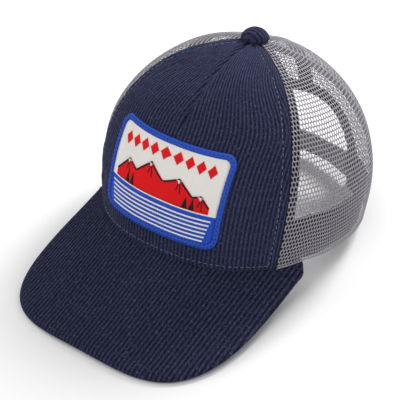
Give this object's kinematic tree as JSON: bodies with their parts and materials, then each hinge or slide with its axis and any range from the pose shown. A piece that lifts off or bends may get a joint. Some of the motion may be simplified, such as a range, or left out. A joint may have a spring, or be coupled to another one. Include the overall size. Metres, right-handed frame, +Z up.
{
  "type": "trucker mesh cap",
  "caption": "Trucker cap with corduroy front and brim, mesh sides and back, embroidered patch, covered top button, sweatband and plastic snap strap.",
  "frame": {"origin": "on the floor under the middle of the cap's box, with the cap lying at rest on its brim corners and back rim", "axes": "+Z up, -Y towards the brim's front edge, +X towards the wearer's left; the head opening's plane is tipped 7.95 degrees, front raised"},
  "size_m": [0.1846, 0.2704, 0.1407],
  "materials": {
    "corduroy": "navy corduroy, about 2.4 mm wales, soft pile",
    "mesh": "grey knitted polyester mesh, satin",
    "backing": "white non-woven stiffener, matte",
    "tape": "navy twill tape, matte",
    "sweatband": "navy brushed twill, matte",
    "foam": "thin foam padding, matte",
    "brim_board": "polyethylene board",
    "patch_twill": "cream polyester twill",
    "patch_border": "royal blue overlocked thread, satin",
    "thread_white": "off-white embroidery thread, satin",
    "thread_blue": "royal blue embroidery thread, satin",
    "thread_red": "red embroidery thread, satin",
    "thread_black": "black embroidery thread, satin",
    "button_metal": "plain pressed steel",
    "strap_plastic": "moulded grey polyethylene, low sheen"
  },
  "bodies": {
    "crown": {"front_panel": "corduroy", "brim_top_cover": "corduroy", "brim_under_cover": "corduroy", "button_cover": "corduroy", "side_mesh_left": "mesh", "side_mesh_right": "mesh", "back_mesh_left": "mesh", "back_mesh_right": "mesh", "front_backing": "backing", "front_seam_tape_left": "tape", "front_seam_tape_right": "tape", "side_seam_tape_left": "tape", "side_seam_tape_right": "tape", "back_seam_tape": "tape", "dart_tape": "tape", "arch_binding": "tape", "sweatband_face": "sweatband", "sweatband_pad": "foam", "brim_board": "brim_board", "patch_base": "patch_twill", "patch_border": "patch_border", "patch_upper_field": "thread_white", "patch_stripes": "thread_white", "patch_lower_field": "thread_blue", "patch_hills": "thread_red", "patch_diamonds": "thread_red", "patch_trees": "thread_black", "button_shell": "button_metal", "button_rivet": "button_metal", "button_washer": "button_metal", "hole_strap_root": "strap_plastic", "peg_strap_root": "strap_plastic"},
    "hole_strap": {"hole_strap": "strap_plastic"},
    "peg_strap": {"peg_strap": "strap_plastic"}
  },
  "joints": [
    {"name": "hole_strap_swing", "type": "hinge", "parent": "crown", "child": "hole_strap", "pos_m": [-0.04093, 0.1224, 0.01462], "axis": [0, 0.1383, 0.9904], "range_deg": [0, 55]},
    {"name": "peg_strap_swing", "type": "hinge", "parent": "crown", "child": "peg_strap", "pos_m": [0.0401, 0.12099, 0.01481], "axis": [0, 0.1383, 0.9904], "range_deg": [0, 40]}
  ]
}
